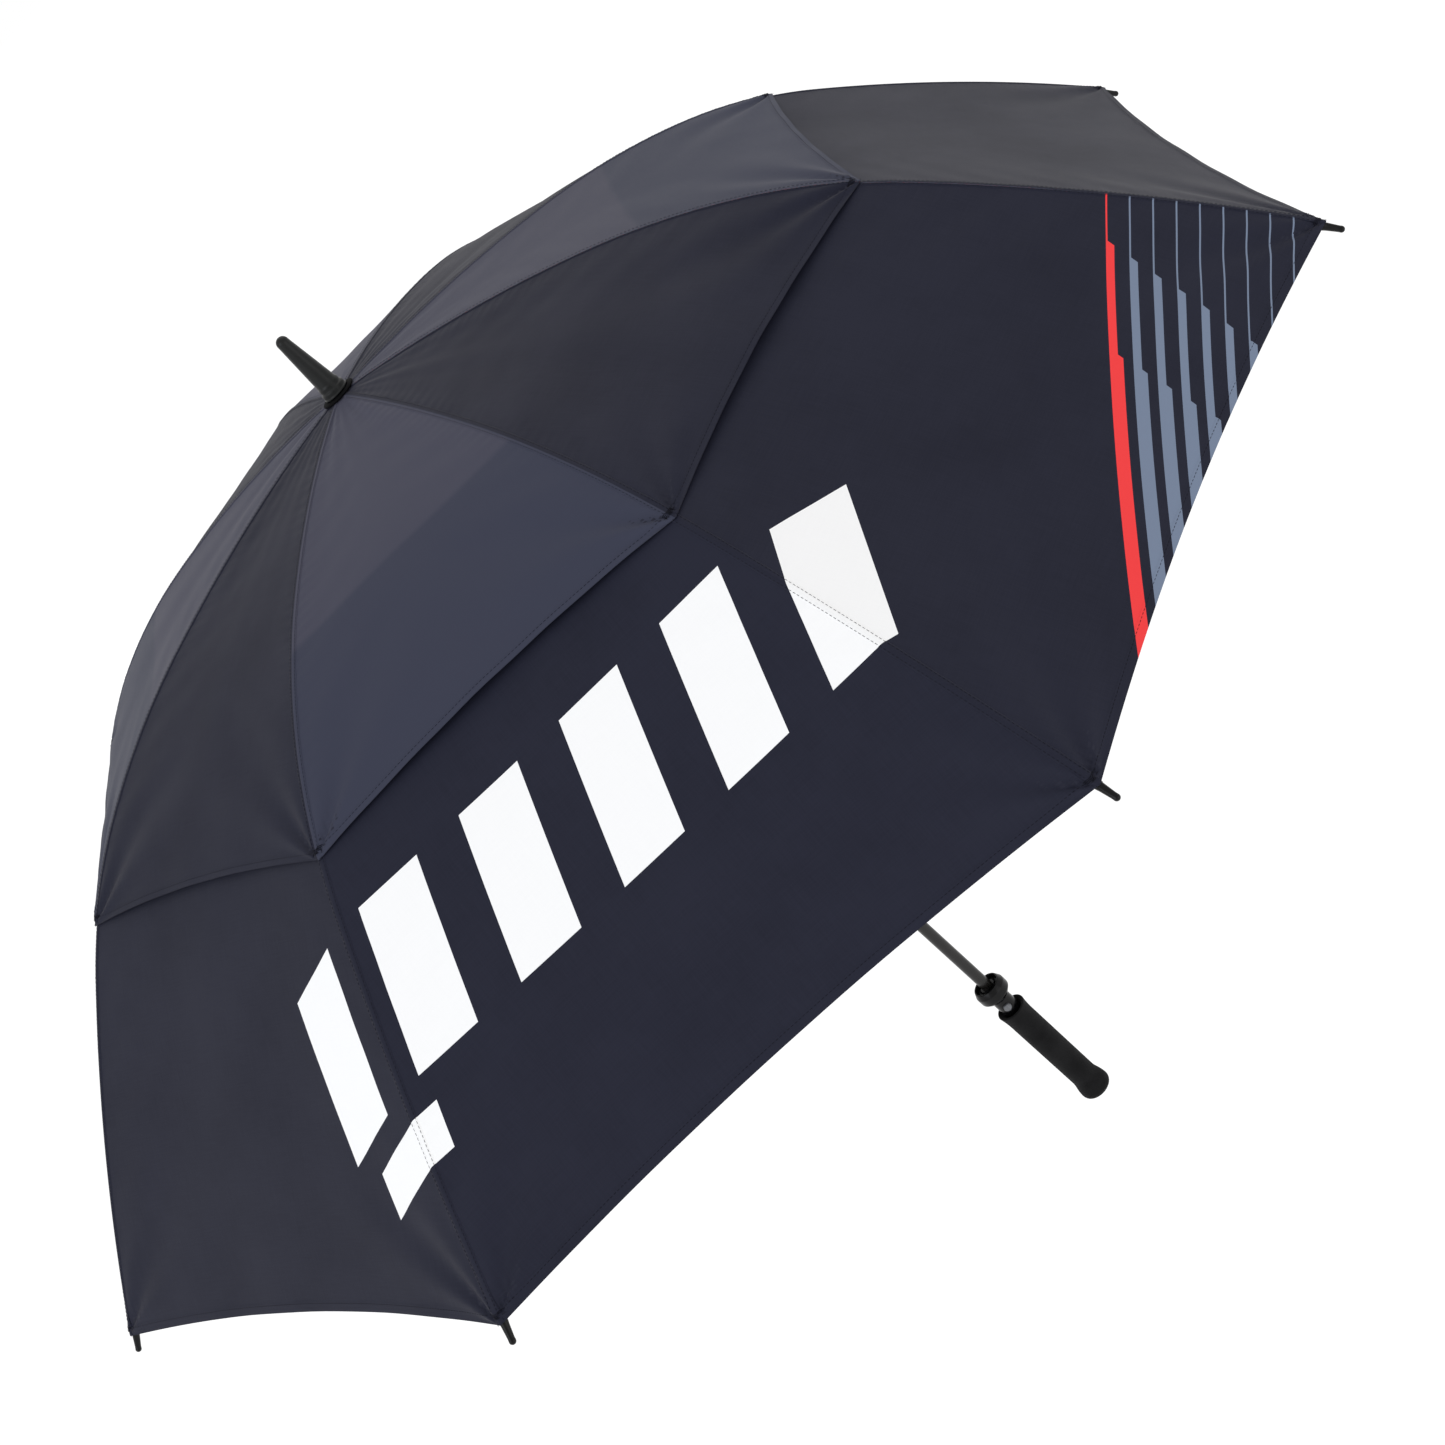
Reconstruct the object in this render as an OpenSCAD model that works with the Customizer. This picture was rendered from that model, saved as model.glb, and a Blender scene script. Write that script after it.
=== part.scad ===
// Golf umbrella with a vented double canopy, shown open and upright.
// The origin is the middle of the grip, and +Z runs up the shaft to the ferrule.

/* [Canopy] */
// Radius from the shaft's axis to the ends of the rib tips, open
open_radius = 650; // [600:5:700]
// Height of the rib tips above the middle of the grip
rim_z = 516.5; // [480:0.5:560]
// Thickness of the cloth, as modelled
cloth = 0.5; // [0.4:0.1:0.8]
// Gap from the lower cloth to the upper cloth, at the ribs
cloth_gap = 0.8; // [0.6:0.1:1.5]
// Lift of the upper cloth's hem between the ribs, which lets the wind out
vent_lift = 5; // [3:0.5:10]
// How far the outer hem curves in between the ribs
hem_curve = 12; // [4:1:24]
// How far the vent's hem curves in between the ribs
vent_curve = 9; // [4:1:16]
// How hollow a panel lies between its ribs, as a share of its radius
hollow = 0.01; // [0:0.005:0.02]

/* [Rib shape] */
// Slope of a rib at the crown, in degrees below level
crown_slope = 2.3; // [1:0.1:4]
// Bend of a rib's first arc, from the crown
bend_1 = 10.7; // [8:0.1:13]
// Bend of its second arc, up to the stretcher
bend_2 = 11.9; // [10:0.1:14]
// Bend of its third arc, at the shoulder
bend_3 = 16.0; // [12:0.1:17]
// Bend of its last arc, down to the tip
bend_4 = 9.2; // [8:0.1:12]
// Radius of a rib's rod
rib_r = 2.0; // [1.6:0.1:2.1]
// Radius of a stretcher's rod
stretcher_r = 1.8; // [1.5:0.1:2]

/* [Shaft and fittings] */
// Outer radius of the shaft
shaft_r = 5.25; // [5:0.05:5.3]
// Wall of the shaft's tube
shaft_wall = 1.0; // [0.8:0.1:1.5]
// Radius of the ring wires that the ribs and the stretchers hang on
wire_ring_r = 12; // [12:0.1:12.5]
// Radius of the notched crown hub and of the runner's notched head
notch_r = 16; // [15.5:0.1:17]
// Length of the runner below its wire
runner_length = 52; // [45:1:56]

/* [Handle] */
// Radius of the tip cup
cup_r = 15.75; // [14:0.25:17]
// Radius of the neck below the tip cup
neck_r = 8.8; // [8.6:0.1:9.2]
// Radius of the grip at its middle
grip_r = 12.5; // [12:0.1:13]
// Radius of the grip's flared top
flare_r = 13.9; // [13.5:0.1:14.5]
// Radius of the pommel
pommel_r = 14.8; // [14:0.1:15.5]
// Half of the grip's length
grip_half = 62; // [60:0.5:63]
// How far the release button travels
button_travel = 1.2; // [0.8:0.1:1.2]

/* [Hidden] */
$fn = 48;
rib_count = 8;

half_gore = 180 / rib_count;
function azimuth(k) = half_gore + (k - 1) * 360 / rib_count;

// The cloth's line over a rib: four arcs that meet smoothly, each a share of the rib's length.
arc_shares = [0.30, 0.16, 0.16, 0.38];
arc_bends = [bend_1, bend_2, bend_3, bend_4];
function total(v, n) = n <= 0 ? 0 : v[n - 1] + total(v, n - 1);
arc_from = [for (i = [0:4]) total(arc_shares, i)];
arc_slope = [for (i = [0:4]) crown_slope + total(arc_bends, i)];
unit_r = [for (i = [0:3]) arc_shares[i] / (arc_bends[i] * PI / 180)];
function unit_run(i, a) = unit_r[i] * [sin(a) - sin(arc_slope[i]), cos(a) - cos(arc_slope[i])];
function unit_start(i) = i == 0 ? [0, 0] : unit_start(i - 1) + unit_run(i - 1, arc_slope[i]);
unit_starts = [for (i = [0:4]) unit_start(i)];
rib_length = open_radius / unit_starts[4][0];
crown_z = rim_z - rib_length * unit_starts[4][1];

function arc_of(s, i = 0) = i == 3 || s <= arc_from[i + 1] ? i : arc_of(s, i + 1);
function slope(s) = let (i = arc_of(s)) arc_slope[i] + (s - arc_from[i]) / arc_shares[i] * arc_bends[i];
// Distance from the axis and height of the line at share s, moved in by depth d
function line_at(s, d = 0) =
    let (i = arc_of(s), a = slope(s))
    [0, crown_z] + rib_length * (unit_starts[i] + unit_run(i, a)) - d * [sin(a), cos(a)];
function arc_centre(i) = line_at(arc_from[i]) - unit_r[i] * rib_length * [sin(arc_slope[i]), cos(arc_slope[i])];

// Where the cloth and the rib change, as shares of the rib's length
clip_s = 0.46;
vent_s = 0.57;
lower_s = 0.36;
hem_s = 0.982;
crown_s = 0.0088;
rib_depth = 3.6;

// Hinges in a rib's plane: the hub's wire, the flex in the clip, the stretcher's pin and the runner's wire
hub_pin = [wire_ring_r, crown_z - 9];
flex_pin = line_at(clip_s, rib_depth);
rod_pin = line_at(clip_s, rib_depth + 6.4);
runner_pin = [wire_ring_r, 2 * rod_pin[1] - hub_pin[1]];

wire_r = 0.8;
pin_r = 1.0;
pin_fit = 0.05;
wire_bore_r = 0.95;
shaft_fit = 0.05;
blade = 2.2;
slot_w = 3.0;
core_r = 8.9;
ink = [0.05, 0.05, 0.06];
steel = [0.55, 0.56, 0.58];

// ---- helpers in a rib's plane, where x runs out from the axis and y runs up

module in_plane(k) rotate([0, 0, azimuth(k)]) children();

module plate(thick) rotate([90, 0, 0]) linear_extrude(thick, center = true) children();

module bar(p, q, w)
    translate(p) rotate(atan2(q[1] - p[1], q[0] - p[0])) translate([0, -w / 2]) square([norm(q - p), w]);

// A flat blade from a bored eye at p towards q
module eye_blade(p, q, eye_r, bore_r, w, thick)
    plate(thick) difference() {
        union() {
            translate(p) circle(eye_r);
            bar(p, q, w);
        }
        translate(p) circle(bore_r);
    }

// A straight round rod from p to q
module rod(p, q, r)
    translate([p[0], 0, p[1]]) rotate([0, 90 - atan2(q[1] - p[1], q[0] - p[0]), 0]) cylinder(r = r, h = norm(q - p));

module cross_pin(p, r, length) translate([p[0], 0, p[1]]) rotate([90, 0, 0]) cylinder(r = r, h = length, center = true);

// The part of a bent rod that runs from share s0 to share s1 of the rib's line, depth d below it
module bent_rod(s0, s1, d, r)
    for (i = [arc_of(s0 + 0.001):arc_of(s1)]) {
        a0 = max(slope(s0), arc_slope[i]);
        a1 = min(slope(s1), arc_slope[i + 1]);
        c = arc_centre(i);
        translate([c[0], 0, c[1]]) rotate([90, 0, 0]) rotate([0, 0, 90 - a1])
            rotate_extrude(angle = a1 - a0) translate([unit_r[i] * rib_length - d, 0]) circle(r);
    }

function step_from(p, a, d) = p + d * [cos(a), -sin(a)];

// ---- ribs, stretchers and tips

socket_r = 2.4;
knuckle_r = 2.4;
cheek_gap = 3.4;
cheek_t = 1.0;

// Inner rib: a wire eye in a crimped socket, the rod, a thread sleeve, and the clip with its two pins
module inner_rib(k) color(ink) in_plane(k) {
    start_s = 0.026;
    start = line_at(start_s, rib_depth);
    eye_blade(hub_pin, start, 2.6, wire_bore_r, 3.2, blade);
    rod(start, line_at(start_s + 0.02, rib_depth), socket_r);
    bent_rod(start_s + 0.004, clip_s - 0.008, rib_depth, rib_r);
    sleeve = line_at(arc_from[1], rib_depth);
    rod(step_from(sleeve, arc_slope[1], -5), step_from(sleeve, arc_slope[1], 5), rib_r + 0.5);
    rod(step_from(flex_pin, arc_slope[2], -18), step_from(flex_pin, arc_slope[2], -4), socket_r + 0.2);
    for (side = [-1, 1]) translate([0, side * (cheek_gap + cheek_t) / 2, 0]) plate(cheek_t) {
        translate(flex_pin) circle(knuckle_r);
        translate(rod_pin) circle(3.0);
        bar(flex_pin, rod_pin, 5);
        bar(step_from(flex_pin, arc_slope[2], -12), flex_pin, 4.4);
    }
    cross_pin(flex_pin, pin_r, cheek_gap + 2 * cheek_t + 1);
    cross_pin(rod_pin, pin_r, cheek_gap + 2 * cheek_t + 1);
}

// Outer rib: a knuckle in a crimped socket, the rod down to the tip, and a thread sleeve
module outer_rib(k) color(ink) in_plane(k) {
    eye_blade(flex_pin, step_from(flex_pin, arc_slope[2], 9), knuckle_r, pin_r + pin_fit, 3.2, 2.8);
    rod(step_from(flex_pin, arc_slope[2], 7), step_from(flex_pin, arc_slope[2], 21), socket_r);
    bent_rod(clip_s + 0.012, 0.982, rib_depth, rib_r);
    sleeve = line_at(arc_from[3], rib_depth);
    rod(step_from(sleeve, arc_slope[3], -5), step_from(sleeve, arc_slope[3], 5), rib_r + 0.5);
}

// Rib tip: a slim moulded cap on the rod's end, with a collar for the hem and a round nose
module rib_tip(k) color(ink) in_plane(k) {
    a = slope(0.98);
    base = line_at(0.966, rib_depth);
    long = rib_length * 0.034 - 2.4;
    translate([base[0], 0, base[1]]) rotate([0, 90 + a, 0]) rotate_extrude() difference() {
        union() {
            polygon([[0, 0], [3.0, 0], [3.1, 2], [2.8, 9], [3.1, 11], [2.8, 13], [2.3, long - 2], [2.4, long], [0, long]]);
            intersection() {
                translate([0, long]) circle(2.4);
                translate([0, long - 3]) square([4, 6]);
            }
        }
        translate([-1, -1]) square([rib_r + 1.1, 16]);
    }
}

// Stretcher: a straight rod with a flat eye crimped on each end
module stretcher(k) color(steel) in_plane(k) {
    a = atan2(runner_pin[1] - rod_pin[1], rod_pin[0] - runner_pin[0]);
    eye_blade(runner_pin, step_from(runner_pin, a, 11), 2.6, wire_bore_r, 3.2, blade);
    rod(step_from(runner_pin, a, 8), step_from(runner_pin, a, 24), stretcher_r + 0.7);
    rod(step_from(runner_pin, a, 12), step_from(rod_pin, a, -12), stretcher_r);
    rod(step_from(rod_pin, a, -24), step_from(rod_pin, a, -8), stretcher_r + 0.7);
    eye_blade(rod_pin, step_from(rod_pin, a, -11), 2.5, pin_r + pin_fit, 3.0, 2.6);
}

// ---- the two layers of cloth, one petal for each rib, from mid-panel to mid-panel

// A point of a petal in its rib's frame. s runs out along the rib and t runs from one side (-1) to the other (1).
// Between the ribs the cloth is drawn tight and hollow, and its hem curves in by `curve` at s = end_s.
function cloth_point(s, t, lift, curve, end_s) =
    let (
        m = abs(t),
        w = m * (2 - m),
        u = s - curve / rib_length * w * pow(s / end_s, 3),
        a = slope(u),
        p = line_at(u),
        dip = hollow * p[0] * w - lift,
        turn = half_gore * t,
        side = sin(half_gore) * cos(half_gore) * t
    )
    [
        p[0] * (1 - m * pow(sin(half_gore), 2)) - dip * sin(a) * cos(turn),
        p[0] * side - dip * sin(a) * sin(turn),
        p[1] - dip * cos(a)
    ];

// A petal stops a little short of mid-panel, where it meets the next one.
function edge_t(s, t) = t * (1 - 0.25 / (line_at(s)[0] * sin(half_gore)));

module petal(s0, s1, lift_rib, lift_mid, curve, rows, cols) {
    ss = [for (i = [0:rows]) s0 + (s1 - s0) * i / rows];
    ts = [for (j = [0:cols]) -1 + 2 * j / cols];
    function lift_at(s, t) =
        lift_rib + (lift_mid - lift_rib) * abs(t) * (2 - abs(t)) * pow((s - s0) / (s1 - s0), 2);
    points = [
        for (top = [0, 1]) for (s = ss) for (t = ts)
            cloth_point(s, edge_t(s, t), lift_at(s, t) + top * cloth, curve, s1)
    ];
    n = cols + 1;
    layer = (rows + 1) * n;
    under = [for (i = [0:rows - 1]) for (j = [0:cols - 1]) let (a = i * n + j) each
        [[a, a + 1, a + n], [a + 1, a + n + 1, a + n]]];
    over = [for (f = under) [f[2] + layer, f[1] + layer, f[0] + layer]];
    ring = concat(
        [for (j = [0:cols - 1]) j],
        [for (i = [0:rows - 1]) i * n + cols],
        [for (j = [cols:-1:1]) rows * n + j],
        [for (i = [rows:-1:1]) i * n]
    );
    walls = [for (i = [0:len(ring) - 1]) let (a = ring[i], b = ring[(i + 1) % len(ring)]) each
        [[a, a + layer, b + layer], [a, b + layer, b]]];
    polyhedron(points, concat(under, over, walls));
}

module lower_canopy(k) color(ink) in_plane(k) petal(lower_s, hem_s, 0, 0, hem_curve, 14, 8);

module upper_canopy(k) color(ink) in_plane(k)
    petal(crown_s, vent_s, cloth + cloth_gap, cloth + cloth_gap + vent_lift, vent_curve, 12, 6);

// ---- shaft and what is on it

shaft_low = -40;
shaft_top = crown_z + 14;

module shaft_tube() color(steel) difference() {
    translate([0, 0, shaft_low]) cylinder(r = shaft_r, h = shaft_top - shaft_low);
    translate([0, 0, shaft_low - 1]) cylinder(r = shaft_r - shaft_wall, h = shaft_top - shaft_low + 2);
}

washer_z = crown_z + 2 * cloth + cloth_gap + 0.2;

module top_washer() color(ink) translate([0, 0, washer_z]) rotate_extrude() difference() {
    polygon([[0, 0], [15, 0], [15.2, 0.6], [14, 1.4], [9, 2], [0, 2]]);
    translate([-1, -1]) square([shaft_r + shaft_fit + 1, 4]);
}

// Ferrule: a stepped collar, a tapering spike and a round nose, on the shaft's end
module ferrule() color(ink) {
    z0 = washer_z + 2.1;
    nose_r = 5.2;
    long = 59;
    translate([0, 0, z0]) difference() {
        union() {
            rotate_extrude() polygon([
                [0, 0], [11, 0], [11, 1.2], [10.4, 1.8], [10.4, 5], [9.2, 6], [9.2, 9.5], [8.6, 10.5],
                [nose_r, long - nose_r], [0, long - nose_r]
            ]);
            translate([0, 0, long - nose_r]) sphere(nose_r);
        }
        translate([0, 0, -1]) cylinder(r = shaft_r + shaft_fit, h = shaft_top - z0 + 1.3);
    }
}

// A notched head with a groove for the ring wire and a slot for each eye
module notched_head(below, above) difference() {
    rotate_extrude() polygon([
        [0, -below], [notch_r - 1, -below], [notch_r, 1 - below], [notch_r, above - 0.6],
        [notch_r - 0.6, above], [0, above]
    ]);
    for (k = [1:rib_count]) in_plane(k) translate([core_r, -slot_w / 2, -below - 1])
        cube([notch_r, slot_w, below + above + 2]);
    rotate_extrude() translate([wire_ring_r - wire_r - 0.1, -wire_r - 0.1]) square([2 * wire_r + 0.2, above + 2]);
}

module ring_wire(z) color(steel) translate([0, 0, z]) rotate_extrude() translate([wire_ring_r, 0]) circle(wire_r);

module crown_hub() color(ink) difference() {
    translate([0, 0, hub_pin[1]]) {
        notched_head(6, 3.8);
        translate([0, 0, -6]) cylinder(r = core_r, h = 15 + cloth);
        translate([0, 0, -14]) cylinder(r = 8, h = 9);
    }
    translate([0, 0, hub_pin[1] - 20]) cylinder(r = shaft_r + shaft_fit, h = 50);
}

module hub_ring_wire() ring_wire(hub_pin[1]);

// Runner: a notched head on a sleeve that ends in a finger flange, free on the shaft
module runner() color(ink) difference() {
    translate([0, 0, runner_pin[1]]) {
        notched_head(6, 3.8);
        rotate_extrude() polygon([
            [0, 3.8], [core_r - 0.5, 3.8], [core_r - 0.5, -20], [8.1, -22], [8.1, 7 - runner_length],
            [10.5, 5 - runner_length], [12, 4 - runner_length], [12, 1 - runner_length],
            [11, -runner_length], [0, -runner_length]
        ]);
    }
    translate([0, 0, runner_pin[1] - runner_length - 1]) cylinder(r = shaft_r + 0.35, h = runner_length + 8);
}

module runner_ring_wire() ring_wire(runner_pin[1]);

// Stop: a collar pinned to the shaft, which the runner rests against when open
module runner_stop() color(steel) translate([0, 0, runner_pin[1] + 4.3]) {
    difference() {
        rotate_extrude() polygon([[0, 0], [7.2, 0], [7.2, 5], [6.6, 6], [0, 6]]);
        translate([0, 0, -1]) cylinder(r = shaft_r + shaft_fit, h = 8);
    }
}

// ---- handle

cup_top = grip_half + 38;
cup_low = cup_top - 19;
neck_low = grip_half - 3;
button_z = grip_half + 10;
button_r = 3.6;

// Tip cup: a bevelled disc, hollowed on top to gather the rib tips, on a neck that holds the button
module tip_cup() color(ink) difference() {
    rotate_extrude() polygon([
        [0, neck_low], [neck_r, neck_low], [neck_r, cup_low - 1], [neck_r + 1, cup_low], [cup_r - 3, cup_low],
        [cup_r, cup_low + 4], [cup_r, cup_top - 4], [cup_r - 2, cup_top], [cup_r - 3.2, cup_top],
        [cup_r - 4.5, cup_top - 5], [shaft_r + 2.5, cup_top - 6], [shaft_r + 2, cup_top - 2], [0, cup_top - 2]
    ]);
    translate([0, 0, neck_low - 1]) cylinder(r = shaft_r + shaft_fit, h = cup_top - neck_low + 2);
    translate([0, 0, button_z]) rotate([90, 0, 0]) cylinder(r = button_r + 0.3, h = neck_r + 4);
}

// Release button: a domed plug that slides in towards the shaft
module release_button() color(steel) translate([0, 0, button_z]) rotate([90, 0, 0]) rotate_extrude()
    polygon([[0, 6.9], [button_r, 6.9], [button_r, 9.9], [button_r - 0.5, 10.5], [1.5, 10.8], [0, 10.8]]);

// Button spring: flat wire turns between the button and the shaft
module button_spring() color(steel) translate([0, 0, button_z]) rotate([90, 0, 0])
    for (turn = [0, 1]) rotate_extrude() translate([2.4, 5.85 + turn * 0.65]) circle(0.28);

function ease(x) = (1 - cos(180 * min(max(x, 0), 1))) / 2;

// Radius of the grip at height z: a straight body that eases out to the flare and to the pommel
pommel_h = 12;
function grip_at(z) =
    z < pommel_h - grip_half ? pommel_r * sqrt(max(1 - pow((z - pommel_h + grip_half) / pommel_h, 2), 0))
    : grip_r - 0.2 + 0.4 * (z + grip_half) / (2 * grip_half)
        + (pommel_r - grip_r) * (1 - ease((z + grip_half - pommel_h) / 16))
        + (flare_r - grip_r) * pow(max((z - grip_half + 16) / 16, 0), 2);

module grip() color([0.08, 0.08, 0.08]) {
    steps = 48;
    // Stations crowd together where the pommel rounds over.
    zs = [for (i = [0:steps]) let (x = i / steps) -grip_half + 2 * grip_half * x * (x < 0.25 ? 0.25 + 3 * x : 1)];
    difference() {
        rotate_extrude() polygon(concat(
            [for (z = zs) [grip_at(z), z]],
            [[flare_r - 1.2, grip_half], [neck_r + 1, neck_low + 1], [neck_r, neck_low - 0.2], [0, neck_low - 0.2]]
        ));
        translate([0, 0, shaft_low - 1]) cylinder(r = shaft_r + shaft_fit, h = grip_half - shaft_low + 2);
    }
}

shaft_tube();
ferrule();
top_washer();
crown_hub();
hub_ring_wire();
runner();
runner_ring_wire();
runner_stop();
tip_cup();
release_button();
button_spring();
grip();
for (k = [1:rib_count]) {
    inner_rib(k);
    outer_rib(k);
    rib_tip(k);
    stretcher(k);
    lower_canopy(k);
    upper_canopy(k);
}
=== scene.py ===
import math
import bmesh
import bpy
import numpy as np
from mathutils import Matrix, Vector


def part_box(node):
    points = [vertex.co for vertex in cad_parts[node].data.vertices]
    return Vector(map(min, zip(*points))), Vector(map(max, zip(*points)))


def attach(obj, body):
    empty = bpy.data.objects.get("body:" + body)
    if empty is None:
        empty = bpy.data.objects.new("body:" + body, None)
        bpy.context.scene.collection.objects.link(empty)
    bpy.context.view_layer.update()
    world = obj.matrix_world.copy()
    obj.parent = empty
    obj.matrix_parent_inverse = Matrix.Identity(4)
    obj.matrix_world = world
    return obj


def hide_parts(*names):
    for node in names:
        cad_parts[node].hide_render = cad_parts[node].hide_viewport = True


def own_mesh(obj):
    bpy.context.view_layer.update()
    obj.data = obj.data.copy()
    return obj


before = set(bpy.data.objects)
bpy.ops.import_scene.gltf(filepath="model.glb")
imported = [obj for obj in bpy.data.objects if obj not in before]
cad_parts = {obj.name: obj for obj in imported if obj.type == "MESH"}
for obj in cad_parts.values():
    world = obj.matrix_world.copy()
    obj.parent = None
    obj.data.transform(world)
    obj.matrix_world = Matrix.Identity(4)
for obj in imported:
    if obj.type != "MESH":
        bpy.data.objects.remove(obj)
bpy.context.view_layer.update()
print("frame loaded")


# camera: distance from the shaft's axis, height, and angles in degrees
viewpoint = dict(distance=1.9159, azimuth=-79.19, height=1.3037, heading=100.42, pitch=-24.01, roll=-47.45,
                 lens=64.45, sensor=36, near=0.05, far=100)


def makeCamera(v):
    data = bpy.data.cameras.new("camera")
    data.lens = v["lens"]
    data.sensor_width = v["sensor"]
    data.clip_start, data.clip_end = v["near"], v["far"]
    obj = bpy.data.objects.new("camera", data)
    bpy.context.scene.collection.objects.link(obj)
    bpy.context.scene.camera = obj
    az, head, pitch, roll = (math.radians(v[k]) for k in ("azimuth", "heading", "pitch", "roll"))
    ahead = Vector((math.cos(head) * math.cos(pitch), math.sin(head) * math.cos(pitch), math.sin(pitch)))
    right = ahead.cross(Vector((0, 0, 1))).normalized()
    up = right.cross(ahead)
    turnedRight = right * math.cos(roll) + up * math.sin(roll)
    turnedUp = up * math.cos(roll) - right * math.sin(roll)
    spot = Vector((v["distance"] * math.cos(az), v["distance"] * math.sin(az), v["height"]))
    rows = Matrix((turnedRight, turnedUp, -ahead)).transposed().to_4x4()
    obj.matrix_world = Matrix.Translation(spot) @ rows


makeCamera(viewpoint)


# ---- small helpers for meshes

def addObject(name, mesh):
    obj = bpy.data.objects.new(name, mesh)
    bpy.context.scene.collection.objects.link(obj)
    return obj


def addPiece(name, points, faces, materials, faceMaterial=None, uvMaps=None, normals=None):
    mesh = bpy.data.meshes.new(name)
    mesh.from_pydata(np.asarray(points).tolist(), [], np.asarray(faces).tolist() if len(faces) else [])
    for m in materials:
        mesh.materials.append(m)
    if faceMaterial is not None:
        mesh.polygons.foreach_set("material_index", np.asarray(faceMaterial, np.int32))
    mesh.polygons.foreach_set("use_smooth", np.ones(len(mesh.polygons), bool))
    corners = np.zeros(len(mesh.loops), np.int32)
    mesh.loops.foreach_get("vertex_index", corners)
    for label, values in (uvMaps or {}).items():
        layer = mesh.uv_layers.new(name=label)
        layer.data.foreach_set("uv", np.asarray(values, np.float32)[corners].ravel())
    mesh.update()
    if normals is not None:
        mesh.normals_split_custom_set_from_vertices(np.asarray(normals).tolist())
    return addObject(name, mesh)


def smoothByAngle(mesh, degrees):
    mesh.polygons.foreach_set("use_smooth", np.ones(len(mesh.polygons), bool))
    mesh.set_sharp_from_angle(angle=math.radians(degrees))


def settle(piece, body, slotName, *replaced):
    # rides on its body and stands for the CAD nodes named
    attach(piece, body)
    if replaced:
        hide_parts(*replaced)
    return piece


def refineNode(node, body, slotName, material, sharp=38):
    # a merged and smoothed copy of a CAD node takes the node's place
    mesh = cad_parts[node].data.copy()
    mesh.name = node + "_fine"
    work = bmeshOf(mesh)
    work.to_mesh(mesh)
    work.free()
    mesh.materials.clear()
    mesh.materials.append(material)
    mesh.polygons.foreach_set("material_index", np.zeros(len(mesh.polygons), np.int32))
    smoothByAngle(mesh, sharp)
    return settle(addObject(node + "_fine", mesh), body, slotName, node)


def bmeshOf(mesh):
    work = bmesh.new()
    work.from_mesh(mesh)
    bmesh.ops.remove_doubles(work, verts=work.verts, dist=2e-6)
    for layer in list(work.loops.layers.uv):
        work.loops.layers.uv.remove(layer)
    return work


def roundCorners(profile, radius, steps=4):
    # rounds each inner corner of an open outline of (r, z) points
    out = [profile[0]]
    for before, corner, after in zip(profile, profile[1:], profile[2:]):
        b, c, a = (np.array(p, float) for p in (before, corner, after))
        inward, outward = b - c, a - c
        cut = min(radius, 0.45 * np.linalg.norm(inward), 0.45 * np.linalg.norm(outward))
        p = c + inward / np.linalg.norm(inward) * cut
        q = c + outward / np.linalg.norm(outward) * cut
        for i in range(steps + 1):
            t = i / steps
            out.append(tuple((1 - t) ** 2 * p + 2 * t * (1 - t) * c + t * t * q))
    out.append(profile[-1])
    return out


def lathe(name, profile, material, sides=96, base=(0.0, 0.0, 0.0), axis=(0.0, 0.0, 1.0), sharp=40,
          closed=False):
    # turns an outline of (r, z) points, low to high outside, about an axis
    prof = np.array(profile, float)
    turn = np.linspace(0, 2 * math.pi, sides, endpoint=False)
    n = len(prof)
    ring = np.stack([np.outer(prof[:, 0], np.cos(turn)), np.outer(prof[:, 0], np.sin(turn)),
                     np.repeat(prof[:, 1:], sides, 1)], -1).reshape(-1, 3)
    faces = []
    for i in range(n if closed else n - 1):
        k = (i + 1) % n
        for j in range(sides):
            m = (j + 1) % sides
            faces.append([i * sides + j, i * sides + m, k * sides + m, k * sides + j])
    mesh = bpy.data.meshes.new(name)
    mesh.from_pydata(ring.tolist(), [], faces)
    work = bmesh.new()
    work.from_mesh(mesh)
    bmesh.ops.remove_doubles(work, verts=work.verts, dist=1e-7)
    bmesh.ops.recalc_face_normals(work, faces=work.faces)
    work.to_mesh(mesh)
    work.free()
    spin = Vector((0, 0, 1)).rotation_difference(Vector(axis)).to_matrix().to_4x4()
    mesh.transform(Matrix.Translation(Vector(base)) @ spin)
    mesh.materials.append(material)
    smoothByAngle(mesh, sharp)
    return addObject(name, mesh)


# ---- small helpers for shader trees

def startMaterial(name, roughness, **fixed):
    mat = bpy.data.materials.new(name)
    mat.use_nodes = True
    tree = mat.node_tree
    shader = tree.nodes["Principled BSDF"]
    shader.inputs["Roughness"].default_value = roughness
    for socket, value in fixed.items():
        shader.inputs[socket.replace("_", " ")].default_value = value
    return mat, tree, shader


def wire(tree, source, target):
    tree.links.new(source, target)


def put(tree, socket, value):
    if isinstance(value, bpy.types.NodeSocket):
        tree.links.new(value, socket)
    else:
        socket.default_value = value


def calc(tree, operation, a, b=0.0, c=0.0):
    node = tree.nodes.new("ShaderNodeMath")
    node.operation = operation
    for socket, value in zip(node.inputs, (a, b, c)):
        put(tree, socket, value)
    return node.outputs[0]


def product(tree, *values):
    out = values[0]
    for v in values[1:]:
        out = calc(tree, "MULTIPLY", out, v)
    return out


def blendColour(tree, share, a, b):
    node = tree.nodes.new("ShaderNodeMix")
    node.data_type = "RGBA"
    put(tree, node.inputs["Factor"], share)
    put(tree, node.inputs["A"], a)
    put(tree, node.inputs["B"], b)
    return node.outputs["Result"]


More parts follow.
